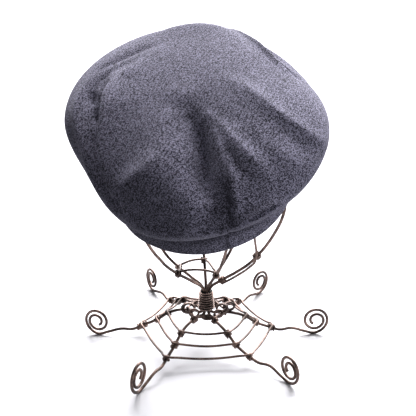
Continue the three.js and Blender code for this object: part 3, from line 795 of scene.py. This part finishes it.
def hanging_loop(knots, sag, steps=6):
    """A ring through its knots that sags between them."""
    path = []
    for k, knot in enumerate(knots):
        following = knots[(k + 1) % len(knots)]
        for n in range(steps):
            t = n / steps
            path.append(knot.lerp(following, t) - Vector((0, 0, sag * web_wire * math.sin(math.pi * t))))
    return path


def wrap(at, along, turns, carrier, start=0.0):
    """A helix of thin wire round a carrier, centred at a point."""
    along = along.normalized()
    side = along.orthogonal().normalized()
    other = along.cross(side)
    radius = (carrier + wrap_wire) / 2 + 0.05
    count = int(turns * 10)
    points = []
    for k in range(count + 1):
        t = k / count
        angle = start + 2 * math.pi * turns * t
        points.append(at + along * wrap_pitch * turns * (t - 0.5)
                      + (side * math.cos(angle) + other * math.sin(angle)) * radius)
    return points


print("a wrap's turns lie", round(wrap_pitch, 2), "mm apart")

# %% Web rings and wraps
wraps = []
for ring, (row, sag) in web_rings.items():
    knots = []
    for index, name in enumerate(strands):
        before, at, after = (leg_point(name, row + step) for step in (-1, 0, 1))
        knots.append(crossing(before, at, after))
        # the photograph has one long wrap, where the outer ring passes the left leg
        turns = 5 if (ring, name) == ("outer", "left") else 1.7 + 0.5 * ((index + row) % 3)
        wraps.append(wrap(at, after - before, turns, leg_wire, index + row))
    wire(f"wire_web_{ring}", [hanging_loop(knots, sag)], web_wire, [f"web_ring_{ring}"], closed=True)
wire("wire_web_wraps", wraps, wrap_wire, resolution=3, sides=2)
print(len(web_rings), "rings,", len(wraps), "wraps")

# %% [markdown]
# ## Ties of the cage
# One thin ring ties four of the ribs a little above the neck, and it bows up between them. A thin
# stay runs beside the right rib. Both are wrapped on as the web is. The ring at the top, which
# the ribs end under, is hidden by the cap.

# %% Cage tie
tied_ribs, tie_bow = ("front_right", "back_left", "left", "front_left"), 0.9
tie_knots, tie_wraps = [], []
for index, name in enumerate(tied_ribs):
    before, at, after = (rib_low_point(name, row) for row in range(3))
    tie_knots.append(crossing(before, at, after))
    tie_wraps.append(wrap(at, after - before, 1.8 + 0.4 * (index % 2), leg_wire, index))
wire("wire_cage_tie", [hanging_loop(tie_knots, -tie_bow)], web_wire, ["cage_tie_ring"], closed=True)
print(len(tie_knots), "knots on the tie ring")

# %% Cage stay
right_rib = strands["right"][5]
stay_aside, stay_below, stay_lead = -5, 1.6 * web_wire, -24
stay_seat = seat_under_ring(right_rib + stay_lead, web_wire)
beside = [rib_low_point("right", row, stay_aside, stay_below) for row in range(4)]
stay_knot = beside[-1]
upright = stay_knot.lerp(stay_seat, 0.04)
upright.z = (stay_knot.z + cage_belly) / 2
stay_belly = Vector((stay_knot.x, stay_knot.y, cage_belly))
stay = [*beside, upright, stay_belly, *shoulder(stay_belly, stay_seat)]
wire("wire_cage_stay", [stay], web_wire, ["cage_stay"])
low_knot, above_low, below_rib, rib_knot, above_rib = (rib_low_point("right", row) for row in range(5))
tie_wraps.append(wrap(rib_knot, above_rib - below_rib, 2.4, leg_wire + 1))
tie_wraps.append(wrap(low_knot, above_low - polar(right_rib, 3, neck_top), 2.6, leg_wire))
wire("wire_cage_wraps", tie_wraps, wrap_wire, resolution=3, sides=2)
print(len(tie_wraps), "wraps on the cage")

# %% Cage top ring
ring_spots, ring_steps = [], 24
for k in range(ring_steps):
    spot = polar(k * 360 / ring_steps, top_ring_radius, 0) + ring_centre
    spot.z = under_crown(spot, web_wire / 2 + gap)
    ring_spots.append(spot)
wire("wire_cage_top", [ring_spots], web_wire, ["cage_top_ring"], closed=True)
print("top ring, mm up:", [round(spot.z) for spot in ring_spots[::6]])

# %% [markdown]
# ## Curls round the hub
# The ends of the wires are left over as loose curls on both sides of the coil. They lie on the
# legs near the hub.

# %% Curls
curl_wire, curl_shrink, curl_pitch = 2.2, 0.13, 2.0


def curl(middle, size, flat, turns, lean, spin, start):
    """A loose coil near the hub: an oval of loops that shrink, its plane leant up from level."""
    tilt = Euler((math.radians(lean), 0, math.radians(spin))).to_matrix()
    points = []
    for k in range(int(turns * 10) + 1):
        turn = k / 10
        angle = math.radians(360 * turn + start)
        grow = size * (1 - curl_shrink * turn)
        up = curl_pitch * (turn - turns / 2)
        spot = Vector((grow * math.cos(angle), flat * grow * math.sin(angle), up))
        points.append(middle + tilt @ spot)
    return points


# middle, size, flatness, turns, lean, spin, start
curls = [curl(Vector(spot), *row) for spot, *row in (
    ((-19, -2, 37), 7.8, 0.75, 2.5, 50, 10, 0),
    ((-13, -9, 35), 5.5, 0.80, 1.5, 40, -15, 90),
    ((17, -3, 37), 7.0, 0.80, 2.4, 55, -15, 40),
    ((25, 4, 36), 6.5, 0.75, 2.0, 45, 20, 0),
    ((13, -10, 35), 5.0, 0.80, 1.5, 40, 10, 180),
    ((2, -17, 34), 6.0, 0.45, 1.4, 25, 0, 60),
)]
wire("wire_hub_curls", curls, curl_wire, resolution=4, sides=2)
print(len(curls), "curls")

# %% [markdown]
# ## Floor and light
# The photograph is taken on white paper under a large soft light that hangs above and behind, so
# the cap's top is bright and its back is in its own shade. A sun with a very wide disc does that
# and lights the paper evenly up to its edge. A low disc on the right brings out the folds of that
# side, a small one in front gives the wire its glints, and a weak pale world fills the rest. The
# paper would throw too much light up under the brim, so diffuse rays don't see it. The Standard
# view keeps the paper white, and the world is white too where the camera sees it past the paper.

# %% Floor
floor_half = 60
floor_work = bmesh.new()
bmesh.ops.create_grid(floor_work, x_segments=1, y_segments=1, size=floor_half)
floor_mesh = bpy.data.meshes.new("floor")
floor_work.to_mesh(floor_mesh)
floor_work.free()
floor = bpy.data.objects.new("floor", floor_mesh)
bpy.context.scene.collection.objects.link(floor)
paper, _, _ = finish("paper", 0.9, 0, {"Base Color": (0.74, 0.74, 0.77, 1)})
floor_mesh.materials.append(paper)
floor.visible_diffuse = False
print("floor is", 2 * floor_half, "m wide")


# %% Lights
def area_light(name, place, target, size, power, colour=(1, 1, 1)):
    """A disc of light, turned to its target and unseen by the camera."""
    data = bpy.data.lights.new(name, "AREA")
    data.shape = "DISK"
    data.size = size
    data.energy = power
    data.color = colour
    lamp = bpy.data.objects.new(name, data)
    lamp.location = place
    lamp.visible_camera = False
    lamp.rotation_euler = (Vector(target) - Vector(place)).to_track_quat("-Z", "Y").to_euler()
    bpy.context.scene.collection.objects.link(lamp)


sun_data = bpy.data.lights.new("soft_sky", "SUN")
sun_data.energy = 12.6
sun_data.angle = math.radians(60)
sun_data.color = (1.0, 0.99, 1.0)
sun = bpy.data.objects.new("soft_sky", sun_data)
sun.rotation_euler = Vector((-0.16, -0.76, -0.63)).to_track_quat("-Z", "Y").to_euler()
bpy.context.scene.collection.objects.link(sun)
area_light("right_light", (1.2, -0.60, 0.08), (0, 0, 0.2), 0.6, 13, (0.97, 0.97, 1.0))
area_light("front_light", (0.45, -0.85, 0.75), (0, 0, 0.1), 0.25, 0.6)
fill_light = 0.16
world = bpy.data.worlds.new("studio")
world.use_nodes = True
world.node_tree.nodes["Background"].inputs["Color"].default_value = (0.96, 0.97, 1.0, 1)
seen = node(world.node_tree, "ShaderNodeLightPath", output="Is Camera Ray")
strength = seen * (1 - fill_light) + fill_light
world.node_tree.links.new(strength.socket, world.node_tree.nodes["Background"].inputs["Strength"])
bpy.context.scene.world = world
bpy.context.scene.view_settings.view_transform = "Standard"
